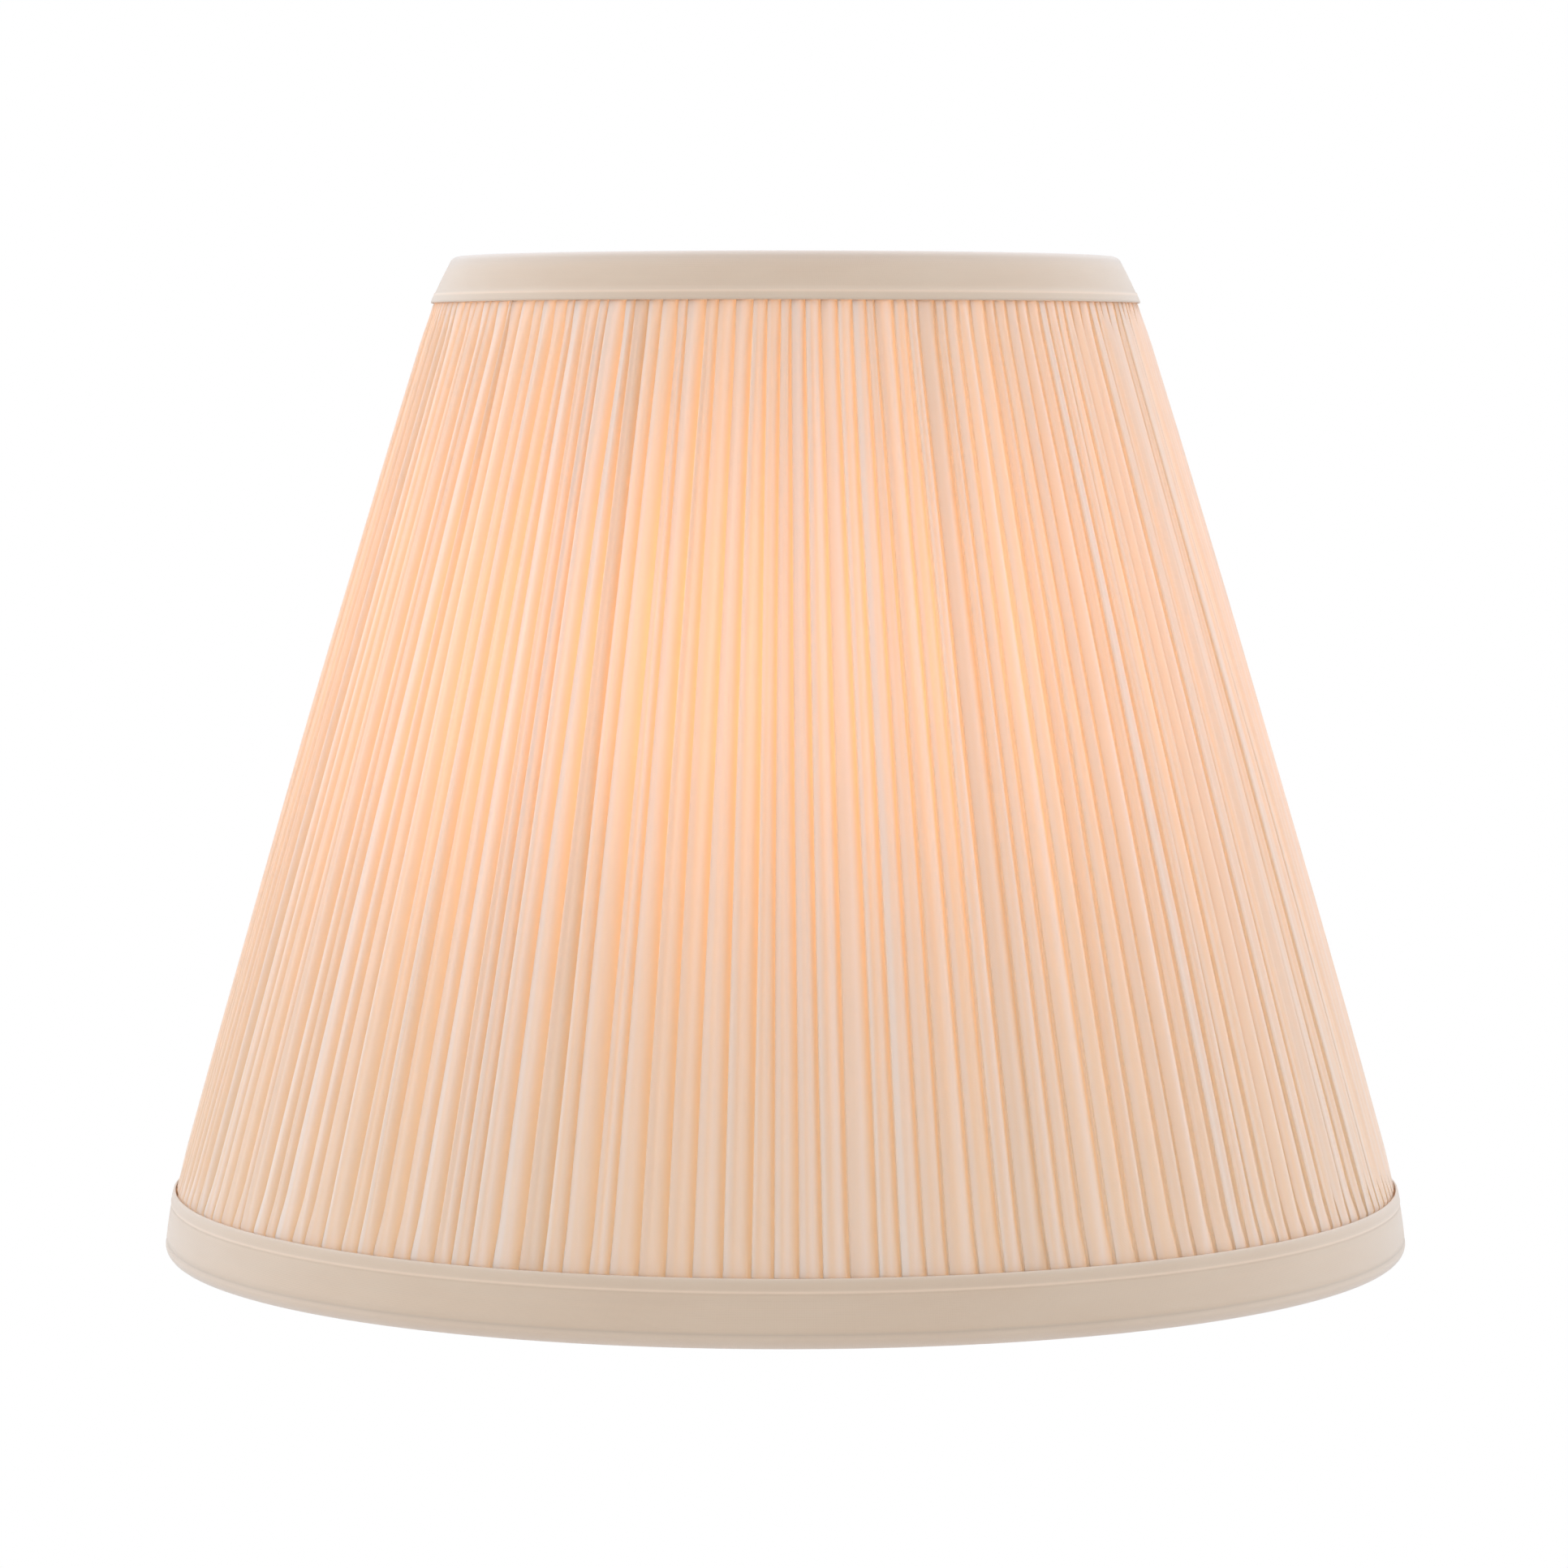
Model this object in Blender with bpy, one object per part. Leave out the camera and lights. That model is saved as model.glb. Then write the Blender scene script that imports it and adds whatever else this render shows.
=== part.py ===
"""Soft-sided empire lamp shade on a welded wire frame: ribs, rings, spider, lining, pleated cover and bias trims.

Units are metres and +Z is up. The origin is the centre of the bottom rim, which is the plane the shade stands on.
Every fabric layer is laid over the frame's cone, so its place is a distance square to the line of the ribs.
"""

import math

import bmesh
import bpy
from mathutils import Vector

# Overall size
HEIGHT = 0.2630
BOTTOM_RADIUS = 0.1651  # outside of the bottom trim, level with its ring
TOP_RADIUS = 0.0889  # outside of the top trim, level with its ring

# Wire frame
RING_WIRE_RADIUS = 0.0015
RIB_WIRE_RADIUS = 0.00125
RIB_COUNT = 8
RIB_TURN = math.radians(22.5)  # direction of the first rib, off +X

# Spider: arms that drop from the top ring to a washer in the middle
ARM_WIRE_RADIUS = 0.00125
ARM_COUNT = 3
ARM_TURN = math.radians(90.0)  # direction of the first arm, off +X
SPIDER_DROP = 0.0127  # from the top ring's centre line down to the washer's middle
ARM_BEND_RADIUS = 0.0050
WASHER_RADIUS = 0.0143
WASHER_HOLE_RADIUS = 0.00555
WASHER_THICKNESS = 0.0016
WASHER_CHAMFER = 0.0003

# Fabric
LINING_THICKNESS = 0.0004
HEM_THICKNESS = 0.0006  # pleats pressed flat beside a ring
PLEAT_DEPTH = 0.0034  # pleats where they come out of a trim
PLEAT_SWELL = 0.00095  # how much fuller they are at mid-height
TAPE_THICKNESS = 0.0008
LIP_PROUD = 0.0003  # a trim's free edge above the pleats
FOLD_PROUD = 0.0001  # a trim's fold line above the pleats

# Trims, measured in from the end of the shade
BOTTOM_TRIM_HEIGHT = 0.0169
BOTTOM_FOLD_HEIGHT = 0.0138
BOTTOM_INNER_LEG = 0.0100
TOP_TRIM_HEIGHT = 0.0122
TOP_FOLD_HEIGHT = 0.0101

# Making
GAP = 0.0003  # between pieces that touch
SEGMENTS = 64
WASHER_SEGMENTS = 48
WIRE_SIDES = 8
COVER_STEPS = 6

# Worked out from the sizes above
RING_INSET = TAPE_THICKNESS + GAP + RING_WIRE_RADIUS  # end of the shade to a ring's centre line
BOTTOM_RING_Z = RING_INSET
TOP_RING_Z = HEIGHT - RING_INSET
CONE_SLOPE = (BOTTOM_RADIUS - TOP_RADIUS) / (TOP_RING_Z - BOTTOM_RING_Z)
CONE_COS = 1.0 / math.hypot(1.0, CONE_SLOPE)
LINING_INNER = RING_WIRE_RADIUS + GAP
LINING_OUTER = LINING_INNER + LINING_THICKNESS
COVER_INNER = LINING_OUTER + GAP
TRIM_OUTER = COVER_INNER + HEM_THICKNESS + GAP + TAPE_THICKNESS
BOTTOM_RING_RADIUS = BOTTOM_RADIUS - TRIM_OUTER / CONE_COS
TOP_RING_RADIUS = TOP_RADIUS - TRIM_OUTER / CONE_COS
COVER_BOTTOM_Z = BOTTOM_TRIM_HEIGHT + GAP
COVER_TOP_Z = HEIGHT - TOP_TRIM_HEIGHT - GAP
WASHER_Z = TOP_RING_Z - SPIDER_DROP


def make_material(name, colour, roughness, metallic=0.0):
    """A Principled material with one colour."""
    material = bpy.data.materials.new(name)
    material.use_nodes = True
    shader = material.node_tree.nodes["Principled BSDF"]
    shader.inputs["Base Color"].default_value = (*colour, 1.0)
    shader.inputs["Roughness"].default_value = roughness
    shader.inputs["Metallic"].default_value = metallic
    return material


def add_object(name, data, material):
    """Link new data to the scene as one named object."""
    data.materials.append(material)
    piece = bpy.data.objects.new(name, data)
    bpy.context.scene.collection.objects.link(piece)
    return piece


def smooth(mesh):
    """Shade round faces smooth and keep the real corners sharp."""
    mesh.shade_smooth()
    mesh.set_sharp_from_angle(angle=math.radians(35.0))


def revolve(name, outline, material, segments=SEGMENTS):
    """Turn a closed outline of (radius, z) points, taken anticlockwise, about the Z axis."""
    bm = bmesh.new()
    rings = []
    for step in range(segments):
        angle = math.tau * step / segments
        rings.append([bm.verts.new((r * math.cos(angle), r * math.sin(angle), z)) for r, z in outline])
    for step in range(segments):
        here = rings[step]
        there = rings[(step + 1) % segments]
        for i in range(len(outline)):
            j = (i + 1) % len(outline)
            bm.faces.new((here[i], there[i], there[j], here[j]))
    mesh = bpy.data.meshes.new(name)
    bm.to_mesh(mesh)
    bm.free()
    smooth(mesh)
    return add_object(name, mesh, material)


def add_wire(name, points, radius, material):
    """A round wire with flat ends along a list of points."""
    curve = bpy.data.curves.new(name, "CURVE")
    curve.dimensions = "3D"
    curve.bevel_depth = radius
    curve.bevel_resolution = (WIRE_SIDES - 4) // 2
    curve.use_fill_caps = True
    spline = curve.splines.new("POLY")
    spline.points.add(len(points) - 1)
    for target, point in zip(spline.points, points):
        target.co = (*point, 1.0)
    return add_object(name, curve, material)


def polar(radius, angle, z):
    """A point at a radius, a direction off +X and a height."""
    return Vector((radius * math.cos(angle), radius * math.sin(angle), z))


def arc(centre_r, centre_z, radius, start, end, steps):
    """Points on an arc in the (radius, z) plane, both ends included."""
    angles = [start + (end - start) * i / steps for i in range(steps + 1)]
    return [(centre_r + radius * math.cos(a), centre_z + radius * math.sin(a)) for a in angles]


def layer_radius(z, distance):
    """Radius at height z of a layer at a distance outside the line of the ribs."""
    rib_line = BOTTOM_RING_RADIUS - (z - BOTTOM_RING_Z) * CONE_SLOPE
    return rib_line + distance / CONE_COS


def pleat_radius(z):
    """Outside of the pleats, which stand slightly fuller at mid-height than at the trims."""
    share = (z - COVER_BOTTOM_Z) / (COVER_TOP_Z - COVER_BOTTOM_Z)
    swell = PLEAT_SWELL * 4.0 * share * (1.0 - share)
    return layer_radius(z, COVER_INNER + PLEAT_DEPTH + swell)


def tape_outside(rim_radius, ring_z, fold_z, edge_z):
    """Outer face of a trim: level with its ring, its fold line, and its free edge on the pleats."""
    fold = (pleat_radius(fold_z) + FOLD_PROUD / CONE_COS, fold_z)
    edge = (pleat_radius(edge_z) + LIP_PROUD / CONE_COS, edge_z)
    return [(rim_radius, ring_z), fold, edge]


def inset(points, distance):
    """Points moved towards the axis by a distance square to the cone."""
    return [(r - distance / CONE_COS, z) for r, z in points]


def bottom_tape_outside():
    """Outer face of the bottom trim, from its ring up."""
    return tape_outside(BOTTOM_RADIUS, BOTTOM_RING_Z, BOTTOM_FOLD_HEIGHT, BOTTOM_TRIM_HEIGHT)


def top_tape_outside():
    """Outer face of the top trim, from its ring down."""
    return tape_outside(TOP_RADIUS, TOP_RING_Z, HEIGHT - TOP_FOLD_HEIGHT, HEIGHT - TOP_TRIM_HEIGHT)


def make_ring(name, radius, z, material):
    """A closed hoop of round wire."""
    section = arc(radius, z, RING_WIRE_RADIUS, 0.0, math.tau * (1.0 - 1.0 / WIRE_SIDES), WIRE_SIDES - 1)
    return revolve(name, section, material)


def make_ribs(material):
    """Straight wires from ring to ring, each with its ends against the rings."""
    for number in range(RIB_COUNT):
        angle = RIB_TURN + math.tau * number / RIB_COUNT
        low = polar(BOTTOM_RING_RADIUS, angle, BOTTOM_RING_Z)
        high = polar(TOP_RING_RADIUS, angle, TOP_RING_Z)
        clear = (high - low).normalized() * (RING_WIRE_RADIUS + GAP)
        add_wire(f"rib_{number + 1}", [low + clear, high - clear], RIB_WIRE_RADIUS, material)


def make_spider_arms(material):
    """Arms that go down from under the top ring, bend, and run level to the washer's rim."""
    start_z = TOP_RING_Z - RING_WIRE_RADIUS - GAP
    bend_r = TOP_RING_RADIUS - ARM_BEND_RADIUS
    bend_z = WASHER_Z + ARM_BEND_RADIUS
    bend = arc(bend_r, bend_z, ARM_BEND_RADIUS, 0.0, -math.pi / 2.0, 4)
    route = [(TOP_RING_RADIUS, start_z), *bend, (WASHER_RADIUS + GAP, WASHER_Z)]
    for number in range(ARM_COUNT):
        angle = ARM_TURN + math.tau * number / ARM_COUNT
        points = [polar(r, angle, z) for r, z in route]
        add_wire(f"spider_arm_{number + 1}", points, ARM_WIRE_RADIUS, material)


def make_washer(material):
    """The flat washer that a harp's stud goes through, with its edges eased."""
    half = WASHER_THICKNESS / 2.0
    low = WASHER_Z - half
    high = WASHER_Z + half
    outline = [
        (WASHER_HOLE_RADIUS, low),
        (WASHER_RADIUS - WASHER_CHAMFER, low),
        (WASHER_RADIUS, low + WASHER_CHAMFER),
        (WASHER_RADIUS, high - WASHER_CHAMFER),
        (WASHER_RADIUS - WASHER_CHAMFER, high),
        (WASHER_HOLE_RADIUS, high),
    ]
    revolve("spider_washer", outline, material, WASHER_SEGMENTS)


def make_lining(material):
    """The plain inner shade, stretched over the outside of the frame from ring to ring."""
    outline = [
        (layer_radius(BOTTOM_RING_Z, LINING_INNER), BOTTOM_RING_Z),
        (layer_radius(BOTTOM_RING_Z, LINING_OUTER), BOTTOM_RING_Z),
        (layer_radius(TOP_RING_Z, LINING_OUTER), TOP_RING_Z),
        (layer_radius(TOP_RING_Z, LINING_INNER), TOP_RING_Z),
    ]
    revolve("lining", outline, material)


def make_cover(material):
    """The pleated cover, whose two ends are pressed flat under the trims."""
    under_bottom = inset(bottom_tape_outside(), TAPE_THICKNESS + GAP)
    under_top = inset(top_tape_outside(), TAPE_THICKNESS + GAP)
    heights = [COVER_BOTTOM_Z + (COVER_TOP_Z - COVER_BOTTOM_Z) * i / COVER_STEPS for i in range(COVER_STEPS + 1)]
    outline = [
        (layer_radius(BOTTOM_RING_Z, COVER_INNER), BOTTOM_RING_Z),
        *under_bottom[:2],
        (under_bottom[2][0], COVER_BOTTOM_Z),
        *[(pleat_radius(z), z) for z in heights],
        (under_top[2][0], COVER_TOP_Z),
        *reversed(under_top[:2]),
        (layer_radius(TOP_RING_Z, COVER_INNER), TOP_RING_Z),
    ]
    revolve("pleated_cover", outline, material)


def make_bottom_trim(material):
    """Bias tape folded under the bottom ring, flat where the shade stands."""
    inner_z = BOTTOM_INNER_LEG
    leg = RIB_WIRE_RADIUS + GAP
    faces = []
    for depth in (0.0, TAPE_THICKNESS):
        outside = inset(bottom_tape_outside(), depth)
        reach = RING_INSET - depth
        heel_r = outside[0][0] - reach
        heel = arc(heel_r, BOTTOM_RING_Z, reach, 0.0, -math.pi / 2.0, 2)
        toe = arc(BOTTOM_RING_RADIUS, BOTTOM_RING_Z, reach, -math.pi / 2.0, -math.pi, 2)
        end = (layer_radius(inner_z, -leg - TAPE_THICKNESS + depth), inner_z)
        faces.append([*reversed(outside[1:]), *heel, *toe, end])
    outer, inner = faces
    revolve("bottom_trim", [*reversed(outer), *inner], material)


def make_top_trim(material):
    """Bias tape folded over the top ring, ending just under it so that the spider's arms pass below."""
    inner_z = TOP_RING_Z - RING_WIRE_RADIUS
    faces = []
    for depth in (0.0, TAPE_THICKNESS):
        outside = inset(top_tape_outside(), depth)
        reach = RING_INSET - depth
        heel_r = outside[0][0] - reach
        heel = arc(heel_r, TOP_RING_Z, reach, 0.0, math.pi / 2.0, 2)
        toe = arc(TOP_RING_RADIUS, TOP_RING_Z, reach, math.pi / 2.0, math.pi, 2)
        end = (TOP_RING_RADIUS - reach, inner_z)
        faces.append([*reversed(outside[1:]), *heel, *toe, end])
    outer, inner = faces
    revolve("top_trim", [*outer, *reversed(inner)], material)


def clear_scene():
    """Start from an empty scene."""
    for old in list(bpy.data.objects):
        bpy.data.objects.remove(old, do_unlink=True)


def main():
    """Make every piece of the shade."""
    clear_scene()
    wire_white = make_material("wire_white", (0.82, 0.81, 0.78), 0.42)
    washer_steel = make_material("washer_steel", (0.60, 0.59, 0.56), 0.32, 1.0)
    lining_ivory = make_material("lining_ivory", (0.86, 0.80, 0.70), 0.85)
    cover_cream = make_material("cover_cream", (0.83, 0.66, 0.49), 0.80)
    trim_beige = make_material("trim_beige", (0.62, 0.49, 0.38), 0.82)
    make_ring("top_ring", TOP_RING_RADIUS, TOP_RING_Z, wire_white)
    make_ring("bottom_ring", BOTTOM_RING_RADIUS, BOTTOM_RING_Z, wire_white)
    make_ribs(wire_white)
    make_spider_arms(wire_white)
    make_washer(washer_steel)
    make_lining(lining_ivory)
    make_cover(cover_cream)
    make_top_trim(trim_beige)
    make_bottom_trim(trim_beige)


main()
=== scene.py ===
"""Looks of a pleated, soft-sided lamp shade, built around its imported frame. Metres, +Z up."""

import math

import bmesh
import bpy
import numpy as np
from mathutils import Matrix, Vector


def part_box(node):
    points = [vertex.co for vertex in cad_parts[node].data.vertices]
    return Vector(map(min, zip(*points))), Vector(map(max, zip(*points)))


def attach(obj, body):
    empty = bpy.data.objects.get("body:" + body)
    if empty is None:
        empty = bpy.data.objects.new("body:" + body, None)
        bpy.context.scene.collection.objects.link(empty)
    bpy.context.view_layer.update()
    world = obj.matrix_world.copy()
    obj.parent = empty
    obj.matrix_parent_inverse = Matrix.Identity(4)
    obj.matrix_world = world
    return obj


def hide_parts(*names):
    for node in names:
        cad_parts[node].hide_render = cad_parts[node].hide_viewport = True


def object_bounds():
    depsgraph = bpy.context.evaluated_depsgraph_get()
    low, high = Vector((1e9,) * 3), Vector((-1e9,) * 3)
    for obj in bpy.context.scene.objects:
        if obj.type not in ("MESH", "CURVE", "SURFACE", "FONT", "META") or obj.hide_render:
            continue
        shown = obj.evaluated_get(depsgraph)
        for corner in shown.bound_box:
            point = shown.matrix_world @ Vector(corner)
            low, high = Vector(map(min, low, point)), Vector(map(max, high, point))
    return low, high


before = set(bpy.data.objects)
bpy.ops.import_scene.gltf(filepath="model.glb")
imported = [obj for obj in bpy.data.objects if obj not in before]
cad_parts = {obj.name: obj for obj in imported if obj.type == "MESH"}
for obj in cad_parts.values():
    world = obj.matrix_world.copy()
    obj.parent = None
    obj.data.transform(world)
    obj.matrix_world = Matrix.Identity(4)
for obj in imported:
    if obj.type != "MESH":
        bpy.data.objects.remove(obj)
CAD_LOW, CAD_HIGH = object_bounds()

BODY = "root"
SEED = 41

# Camera, measured from the shade's axis and its bottom rim
CAMERA_DISTANCE = 1.4737
CAMERA_HEIGHT = 0.2336
CAMERA_SIDE = -0.0004
CAMERA_PITCH = math.radians(4.283)
CAMERA_LENS = 127.33
SENSOR = 36.0

# Pleats
PLEATS = 164
PLEAT_ROWS = 22  # between the trims, with more beside each of them
UNDERLAP = 0.27  # share of a pleat's pitch that lies under its neighbour
TUCK = 0.005  # how far the cover runs on under each trim
PINCH_REACH = 0.011  # height over which a trim presses the pleats level
PINCH_LEVEL = 0.84  # share of the cover's depth that they are pressed to
PINCH_MOST = 0.92  # how far they are pressed towards it at a trim's edge

PINCH_SHARES = (0.10, 0.45)  # depths between which the pressing comes in, so the hidden layers stay apart
PLEAT_STEPS = (1, 2, 2, 2, 2, 2, 2, 2, 2, 1, 1)  # points from each knot of a pleat's section to the next

# Trims
TAPE = 0.0003
LIP_STEP = 0.00020
CREASE_DEPTH = 0.00030
EDGE_CURL = (0.00050, 0.00020)  # how far the free edge's first two points curl in
EDGE_WAVER = 0.00022
EDGE_PUCKER = 0.00018
EDGE_SWAY = 0.00006
TRIM_SEGMENTS = 384

# Light
FRONT_LIGHT = 0.28
FRONT_TINT = (1.0, 0.86, 0.73)
SIDE_LIGHT = 2.05
SIDE_TINT = (0.98, 1.06, 1.17)
BACK_SHARE = 0.45  # light from straight behind, as a share of the light from the sides
KEY_POWER = 8.0
KEY_PLACE = (-0.9, -2.4, 1.6)
KEY_SIZE = 1.8
KEY_TINT = (1.0, 0.98, 0.95)
BULB_SHIFT = (-0.010, -0.031)
BULB_POWER = 0.63
BULB_TINT = (1.0, 0.45, 0.19)
BULB_HEIGHT = 0.55  # share of the shade's height
BULB_SIZE = 0.03
FLOOR_TINT = (0.70, 0.67, 0.63)
FLOOR_DROP = 0.35

# Lining
LINING_COLUMNS = 192
LINING_ROWS = 36
LINING_RIPPLE = 0.00005
RIPPLE_WAVES = (24, 41, 67)
SEAM_DEPTH = 0.00012
SEAM_WIDTH = 0.003

# Wires
WIRE = 0.00125  # radius of the ribs and the spider arms
ARM_BEND = 0.005
WELD_BEAD = 0.42  # how much a weld swells a wire
WELD_SPREAD = 1.3  # in wire radii
WELD_SINK = 0.93  # in wire radii, from a ring's centre line to a wire's end
WELD_RUNS = np.array([0.0, 0.0004, 0.0008, 0.0012, 0.0018, 0.0026, 0.004])


# ---------------------------------------------------------------- frame reading


def node_levels(name):
    """Heights of a turned CAD node's points, with the least and greatest radius at each."""
    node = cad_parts[name]
    points = [node.matrix_world @ v.co for v in node.data.vertices]
    levels = {}
    for p in points:
        levels.setdefault(round(p.z, 5), []).append(math.hypot(p.x, p.y))
    return [(z, min(r), max(r)) for z, r in sorted(levels.items())]


def ring_line(name):
    """Centre-line radius, height and wire radius of a ring."""
    low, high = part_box(name)
    wire = (high[2] - low[2]) / 2.0
    return high[0] - wire, (high[2] + low[2]) / 2.0, wire


# ---------------------------------------------------------------- mesh helpers


def add_piece(name, mesh, material, replaced):
    """Link a mesh as one piece of the shade that stands for CAD nodes."""
    mesh.materials.append(material)
    piece = bpy.data.objects.new(name, mesh)
    bpy.context.scene.collection.objects.link(piece)
    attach(piece, BODY)
    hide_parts(*replaced)
    return piece


def grid_mesh(name, points, wrap_columns, wrap_rows=False, cloth=None, fold=None):
    """A mesh from a (rows, columns, 3) array of points, which can carry cloth coordinates and fold marks."""
    rows, columns, _ = points.shape
    index = np.arange(rows * columns).reshape(rows, columns)
    right = np.roll(index, -1, axis=1)
    up = np.roll(index, -1, axis=0)
    diagonal = np.roll(right, -1, axis=0)
    quads = np.stack([index, right, diagonal, up], axis=-1)
    if not wrap_columns:
        quads = quads[:, :-1]
    if not wrap_rows:
        quads = quads[:-1]
    quads = quads.reshape(-1, 4)
    mesh = bpy.data.meshes.new(name)
    mesh.from_pydata(points.reshape(-1, 3).tolist(), [], quads.tolist())
    if cloth is not None:
        layer = mesh.attributes.new("cloth", "FLOAT_VECTOR", "POINT")
        layer.data.foreach_set("vector", np.ascontiguousarray(cloth, dtype=np.float32).ravel())
    if fold is not None:
        layer = mesh.attributes.new("fold", "FLOAT_VECTOR", "POINT")
        layer.data.foreach_set("vector", np.ascontiguousarray(fold, dtype=np.float32).ravel())
    mesh.shade_smooth()
    return mesh


def turned(radius, angle, height):
    """Points from radius, angle and height arrays."""
    return np.stack([radius * np.cos(angle), radius * np.sin(angle), height + 0.0 * angle], axis=-1)


def flat_places(run, rise):
    """Cloth coordinates of a grid: run along its columns and rise up its rows."""
    wide, high = np.meshgrid(run, rise)
    return np.stack([wide, high, np.zeros_like(wide)], axis=-1)


def smoothstep(low, high, value):
    """0 below low, 1 above high, smooth between."""
    t = np.clip((value - low) / (high - low), 0.0, 1.0)
    return t * t * (3.0 - 2.0 * t)


def slow_noise(rng, count, along, waves):
    """Smooth random curves over along (0 to 1), one for each of count, about -1 to 1."""
    total = np.zeros((count, len(along)))
    for wave in waves:
        phase = rng.uniform(0.0, math.tau, (count, 1))
        size = rng.uniform(0.4, 1.0, (count, 1))
        total += size * np.sin(math.tau * wave * along[None, :] + phase) / math.sqrt(wave)
    return total / len(waves)


def catmull_rom(knots, steps):
    """Points on smooth curves through all knots but the outer two, with steps[i] points after each knot."""
    made = []
    for i, count in enumerate(steps):
        a, b, c, d = (knots[..., i + j, :] for j in range(4))
        for step in range(count):
            t = step / count
            bend = (2.0 * a - 5.0 * b + 4.0 * c - d) * t * t
            swing = (3.0 * b - a - 3.0 * c + d) * t * t * t
            made.append(0.5 * (2.0 * b + (c - a) * t + bend + swing))
    return np.stack(made, axis=-2)


# ---------------------------------------------------------------- node helpers


class Nodes:
    """Short calls to build one material's node tree."""

    def __init__(self, name):
        self.material = bpy.data.materials.new(name)
        self.material.use_nodes = True
        self.tree = self.material.node_tree
        self.tree.nodes.clear()

    def add(self, kind, **values):
        """A node with its properties set."""
        node = self.tree.nodes.new(kind)
        for key, value in values.items():
            if hasattr(node, key):
                setattr(node, key, value)
        return node

    def link(self, source, target):
        """Join an output to an input."""
        self.tree.links.new(source, target)

    def set(self, node, **values):
        """Set inputs by name, with underscores for spaces; a socket is linked and a value is written."""
        for key, value in values.items():
            socket = node.inputs[key.replace("_", " ")]
            if isinstance(value, bpy.types.NodeSocket):
                self.link(value, socket)
            else:
                socket.default_value = value
        return node

    def math(self, operation, a, b=None, clamp=False):
        """One Math node's output."""
        node = self.add("ShaderNodeMath", operation=operation, use_clamp=clamp)
        for socket, value in zip(node.inputs, (a, b)):
            if value is None:
                continue
            if isinstance(value, bpy.types.NodeSocket):
                self.link(value, socket)
            else:
                socket.default_value = value
        return node.outputs[0]

    def blend(self, start, source, gain):
        """start plus gain times source, as one node's output."""
        node = self.add("ShaderNodeMath", operation="MULTIPLY_ADD")
        for socket, value in zip(node.inputs, (source, gain, start)):
            if isinstance(value, bpy.types.NodeSocket):
                self.link(value, socket)
            else:
                socket.default_value = value
        return node.outputs[0]

    def mix(self, factor, a, b, blend="MIX"):
        """One colour Mix node's output."""
        node = self.add("ShaderNodeMix", data_type="RGBA", blend_type=blend)
        for socket, value in zip((node.inputs[0], node.inputs[6], node.inputs[7]), (factor, a, b)):
            if isinstance(value, bpy.types.NodeSocket):
                self.link(value, socket)
            else:
                socket.default_value = value
        return node.outputs[2]

    def ramp(self, source, low, high):
        """A value stretched so that low gives 0 and high gives 1."""
        node = self.add("ShaderNodeMapRange")
        self.link(source, node.inputs["Value"])
        node.inputs["From Min"].default_value = low
        node.inputs["From Max"].default_value = high
        return node.outputs[0]

    def attribute(self, name):
        """An attribute kept on the mesh's points."""
        return self.add("ShaderNodeAttribute", attribute_name=name)

    def noise(self, vector, scale, detail=3.0, roughness=0.55):
        """A Noise texture's value."""
        node = self.add("ShaderNodeTexNoise")
        self.link(vector, node.inputs["Vector"])
        node.inputs["Scale"].default_value = scale
        node.inputs["Detail"].default_value = detail
        node.inputs["Roughness"].default_value = roughness
        return node.outputs["Fac"]

    def scaled(self, vector, scale):
        """A vector scaled along each axis."""
        node = self.add("ShaderNodeMapping")
        self.link(vector, node.inputs["Vector"])
        node.inputs["Scale"].default_value = scale
        return node.outputs["Vector"]

    def turned(self, vector, angle):
        """A vector turned about Z."""
        node = self.add("ShaderNodeMapping")
        self.link(vector, node.inputs["Vector"])
        node.inputs["Rotation"].default_value = (0.0, 0.0, angle)
        return node.outputs["Vector"]

    def bump(self, height, strength, distance, normal=None):
        """A Bump node's normal."""
        node = self.add("ShaderNodeBump")
        self.link(height, node.inputs["Height"])
        node.inputs["Strength"].default_value = strength
        node.inputs["Distance"].default_value = distance
        if normal is not None:
            self.link(normal, node.inputs["Normal"])
        return node.outputs["Normal"]

    def output(self, shader):
        """Finish the material with its surface shader."""
        node = self.add("ShaderNodeOutputMaterial")
        self.link(shader, node.inputs["Surface"])
        return self.material


def colour(r, g, b):
    """A linear colour with full alpha."""
    return (r, g, b, 1.0)


def weave(n, cloth, pitch):
    """Height of a plain weave whose threads cross at pitch metres, from cloth coordinates."""
    split = n.add("ShaderNodeSeparateXYZ")
    n.link(cloth, split.inputs[0])
    turns = math.tau / pitch
    across = n.math("SINE", n.math("MULTIPLY", split.outputs[0], turns))
    along = n.math("SINE", n.math("MULTIPLY", split.outputs[1], turns))
    return n.math("MULTIPLY", across, along)


def cloth_shader(n, base, through, normal, roughness, sheen, pass_share):
    """Cloth that shows its own colour and passes light on: Principled mixed with Translucent."""
    front = n.add("ShaderNodeBsdfPrincipled")
    n.set(front, Base_Color=base, Roughness=roughness, Normal=normal)
    front.inputs["Sheen Weight"].default_value = sheen
    front.inputs["Sheen Roughness"].default_value = 0.45
    front.inputs["Specular IOR Level"].default_value = 0.25
    back = n.add("ShaderNodeBsdfTranslucent")
    n.set(back, Color=through, Normal=normal)
    both = n.add("ShaderNodeMixShader")
    if isinstance(pass_share, bpy.types.NodeSocket):
        n.link(pass_share, both.inputs[0])
    else:
        both.inputs[0].default_value = pass_share
    n.link(front.outputs[0], both.inputs[1])
    n.link(back.outputs[0], both.inputs[2])
    return both.outputs[0]


# ---------------------------------------------------------------- materials


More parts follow.
